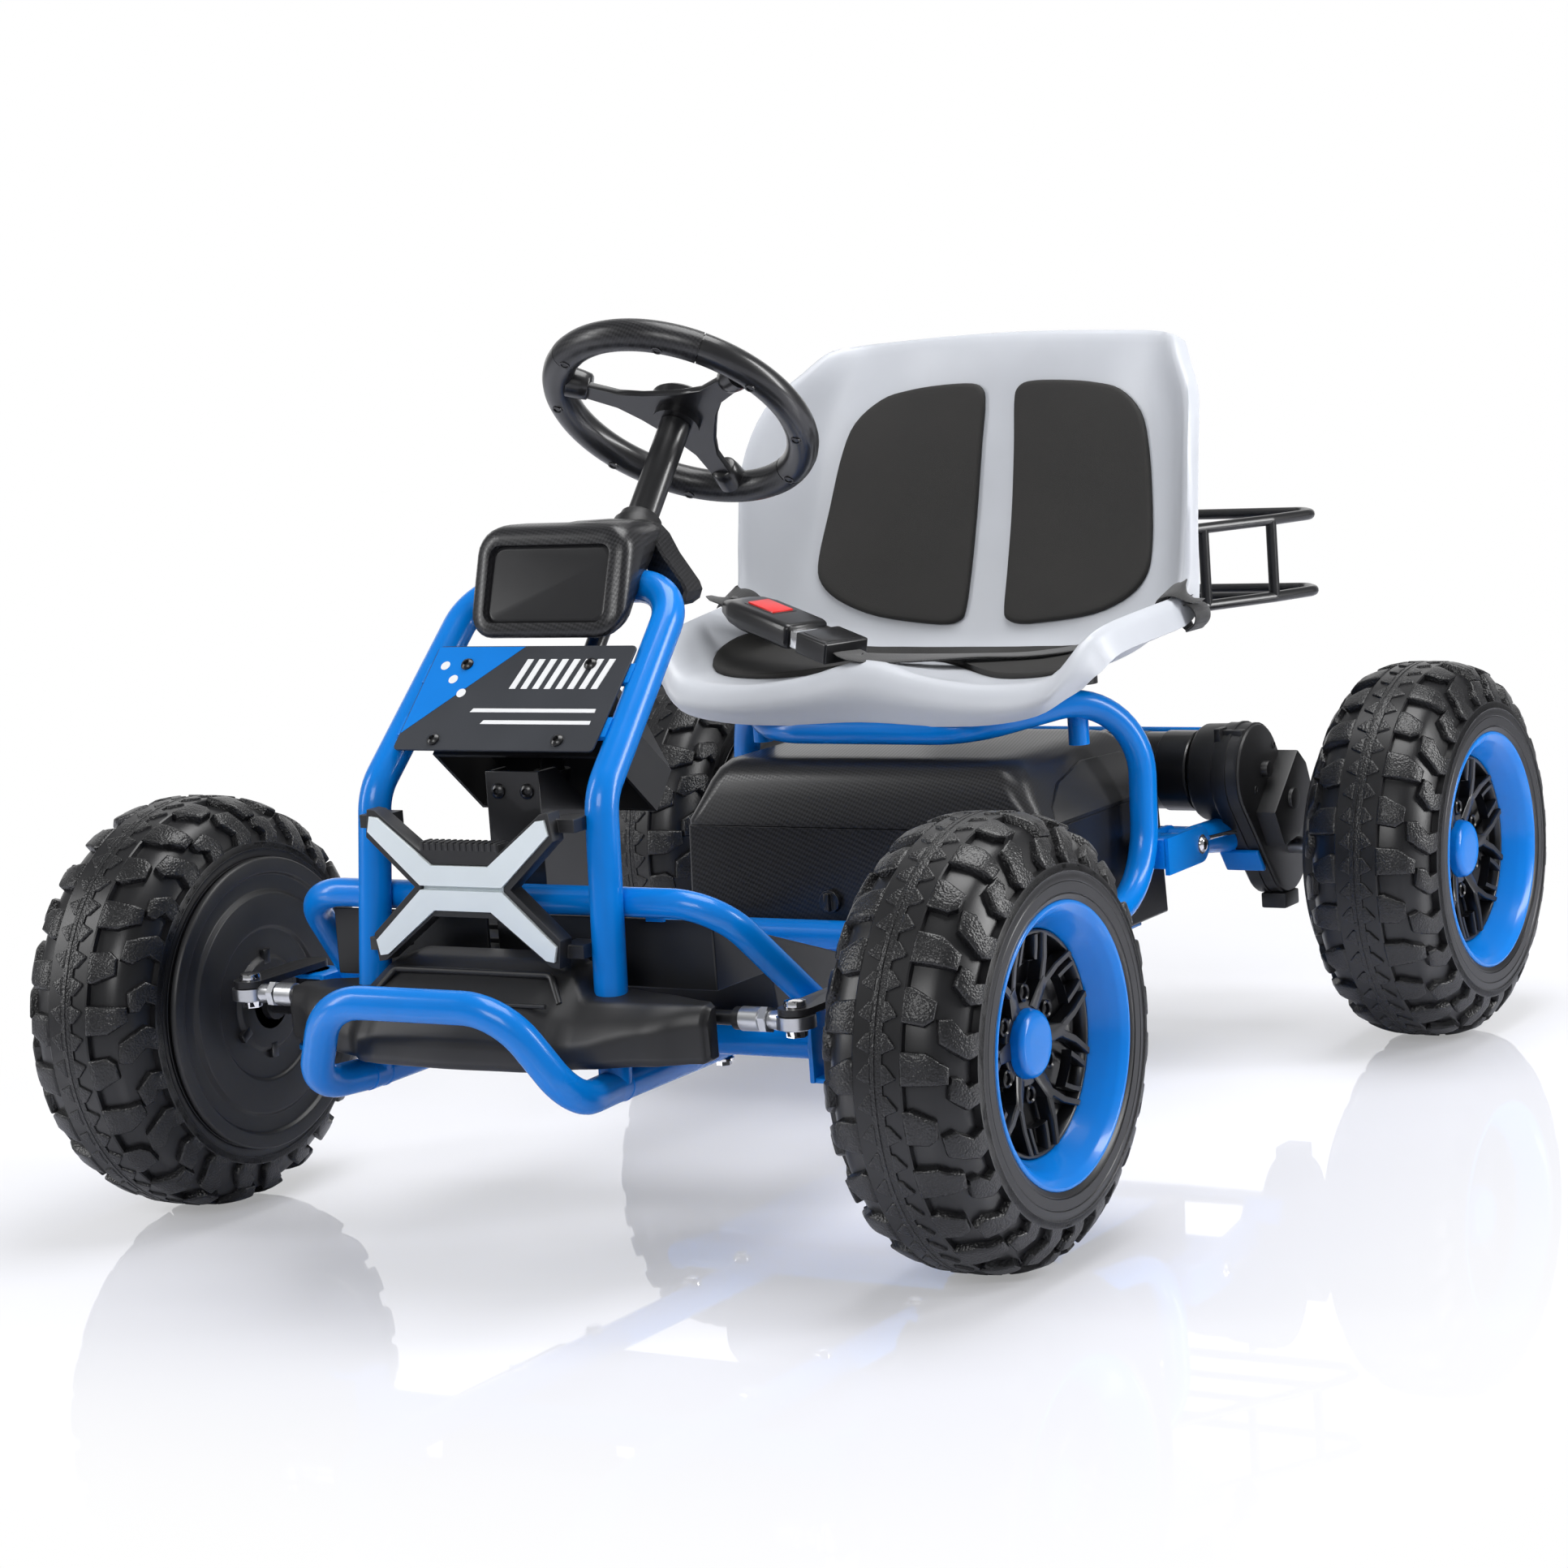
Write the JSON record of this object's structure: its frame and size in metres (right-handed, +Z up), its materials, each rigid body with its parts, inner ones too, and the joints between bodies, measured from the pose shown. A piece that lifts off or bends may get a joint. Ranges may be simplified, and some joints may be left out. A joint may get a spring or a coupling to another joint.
{
  "type": "off road go kart",
  "caption": "Small electric off-road kart with tube frame, bucket seat, steering wheel, tread tyres, front lamp, number plate and rear rack.",
  "frame": {"origin": "centre of the whole box, at the ground under the tyres", "axes": "+Z up, +Y towards the rear of the kart, +X towards the driver's left"},
  "size_m": [0.864, 1.1984, 0.6874],
  "materials": {
    "blue_paint": "gloss",
    "steel": "satin",
    "zinc": "bright zinc",
    "black_steel": "satin",
    "wheel_grip": "satin with gloss carbon-look sections",
    "black_plastic": "satin",
    "plate": "satin with printed stripes",
    "lens": "milky",
    "pedal": "satin",
    "screen": "gloss",
    "carbon_look": "carbon-look film",
    "battery_wrap": "shrink film",
    "cast_alloy": "cast",
    "seat_plastic": "satin gloss",
    "foam": "foam rubber",
    "red_plastic": "gloss",
    "chrome": "polished",
    "webbing": "woven webbing",
    "motor_can": "satin",
    "tyre": "moulded",
    "rim_blue": "gloss",
    "wheel_black": "satin gloss"
  },
  "bodies": {
    "chassis": {"lower_frame": "blue_paint", "seat_arch": "blue_paint", "front_hoop": "blue_paint", "brush_guard": "blue_paint", "front_axle_beam": "blue_paint", "steering_post": "black_steel", "post_cover": "black_plastic", "number_plate": "plate", "headlight_lens": "lens", "headlight_housing": "black_plastic", "fascia": "black_plastic", "footwell": "black_plastic", "dash_housing": "carbon_look", "dash_screen": "screen", "battery_box": "black_plastic", "battery_cover": "carbon_look", "battery": "battery_wrap", "controller": "cast_alloy", "seat_shell": "seat_plastic", "seat_back_pad_left": "foam", "seat_back_pad_right": "foam", "seat_pan_pad": "foam", "buckle_socket": "black_plastic", "buckle_tongue": "chrome", "belt_strap_left": "webbing", "belt_strap_right": "webbing", "cargo_rack": "black_steel"},
    "knuckle_left": {"knuckle_left": "steel"},
    "knuckle_right": {"knuckle_right": "steel"},
    "tie_rod_left": {"tie_rod_left": "zinc"},
    "tie_rod_right": {"tie_rod_right": "zinc"},
    "lower_shaft": {"lower_steering_shaft": "steel"},
    "steering_wheel": {"steering_column": "black_steel", "steering_wheel_rim": "wheel_grip", "steering_wheel_hub": "black_plastic"},
    "rear_suspension": {"swing_arm": "blue_paint", "rear_axle": "steel", "motor_left": "motor_can", "motor_right": "motor_can", "gearbox_left": "cast_alloy", "gearbox_right": "cast_alloy"},
    "accelerator": {"accelerator_pedal": "pedal"},
    "latch": {"box_latch": "steel"},
    "belt_button": {"buckle_button": "red_plastic"},
    "front_left_wheel": {"front_left_tyre": "tyre", "front_left_rim": "rim_blue", "front_left_wheel_disc": "wheel_black", "front_left_hub_cap": "rim_blue"},
    "front_right_wheel": {"front_right_tyre": "tyre", "front_right_rim": "rim_blue", "front_right_wheel_disc": "wheel_black", "front_right_hub_cap": "rim_blue"},
    "rear_left_wheel": {"rear_left_tyre": "tyre", "rear_left_rim": "rim_blue", "rear_left_wheel_disc": "wheel_black", "rear_left_hub_cap": "rim_blue"},
    "rear_right_wheel": {"rear_right_tyre": "tyre", "rear_right_rim": "rim_blue", "rear_right_wheel_disc": "wheel_black", "rear_right_hub_cap": "rim_blue"}
  },
  "joints": [
    {"name": "left_kingpin", "type": "hinge", "parent": "chassis", "child": "knuckle_left", "pos_m": [0.247, -0.38925, 0.16], "axis": [0, 0, 1], "range_deg": [-28, 28]},
    {"name": "left_tie_rod_pivot", "type": "hinge", "parent": "knuckle_left", "child": "tie_rod_left", "pos_m": [0.247, -0.46525, 0.191], "axis": [0, 0, 1], "range_deg": [-31, 31]},
    {"name": "front_left_wheel_spin", "type": "hinge", "parent": "knuckle_left", "child": "front_left_wheel", "pos_m": [0.361, -0.38925, 0.165], "axis": [1, 0, 0], "continuous": true},
    {"name": "rear_left_wheel_spin", "type": "hinge", "parent": "rear_suspension", "child": "rear_left_wheel", "pos_m": [0.368, 0.41575, 0.165], "axis": [1, 0, 0], "continuous": true},
    {"name": "right_kingpin", "type": "hinge", "parent": "chassis", "child": "knuckle_right", "pos_m": [-0.247, -0.38925, 0.16], "axis": [0, 0, 1], "range_deg": [-28, 28]},
    {"name": "right_tie_rod_pivot", "type": "hinge", "parent": "knuckle_right", "child": "tie_rod_right", "pos_m": [-0.247, -0.46525, 0.191], "axis": [0, 0, 1], "range_deg": [-31, 31]},
    {"name": "front_right_wheel_spin", "type": "hinge", "parent": "knuckle_right", "child": "front_right_wheel", "pos_m": [-0.361, -0.38925, 0.165], "axis": [1, 0, 0], "continuous": true},
    {"name": "rear_right_wheel_spin", "type": "hinge", "parent": "rear_suspension", "child": "rear_right_wheel", "pos_m": [-0.368, 0.41575, 0.165], "axis": [1, 0, 0], "continuous": true},
    {"name": "lower_shaft_turn", "type": "hinge", "parent": "chassis", "child": "lower_shaft", "pos_m": [0, -0.38925, 0.27], "axis": [0, 0, 1], "range_deg": [-28, 28]},
    {"name": "steering_wheel_turn", "type": "hinge", "parent": "chassis", "child": "steering_wheel", "pos_m": [0, -0.38925, 0.36], "axis": [0, 0.6517, 0.7585], "range_deg": [-28, 28]},
    {"name": "swing_arm_pivot", "type": "hinge", "parent": "chassis", "child": "rear_suspension", "pos_m": [0, 0.27175, 0.19], "axis": [1, 0, 0], "range_deg": [0, 5], "stiffness_Nm_per_rad": 130, "springref_deg": -17.76},
    {"name": "accelerator_press", "type": "hinge", "parent": "chassis", "child": "accelerator", "pos_m": [-0.095, -0.34325, 0.172], "axis": [1, 0, 0], "range_deg": [0, 14], "stiffness_Nm_per_rad": 1.2, "springref_deg": -20.05},
    {"name": "box_latch_turn", "type": "hinge", "parent": "chassis", "child": "latch", "pos_m": [-0.033, 0.05775, 0.172], "axis": [0, 1, 0], "range_deg": [0, 90]},
    {"name": "belt_button_press", "type": "slide", "parent": "chassis", "child": "belt_button", "axis": [-0.2111, 0.079, -0.9743], "range_m": [0, 0.003], "stiffness_N_per_m": 800, "springref_m": -0.002}
  ],
  "couplings": [
    {"joint": "right_kingpin", "follows": "left_kingpin", "ratio": 1},
    {"joint": "lower_shaft_turn", "follows": "left_kingpin", "ratio": 1},
    {"joint": "steering_wheel_turn", "follows": "left_kingpin", "ratio": 1},
    {"joint": "left_tie_rod_pivot", "follows": "left_kingpin", "ratio": -1.05},
    {"joint": "right_tie_rod_pivot", "follows": "left_kingpin", "ratio": -1.05}
  ]
}
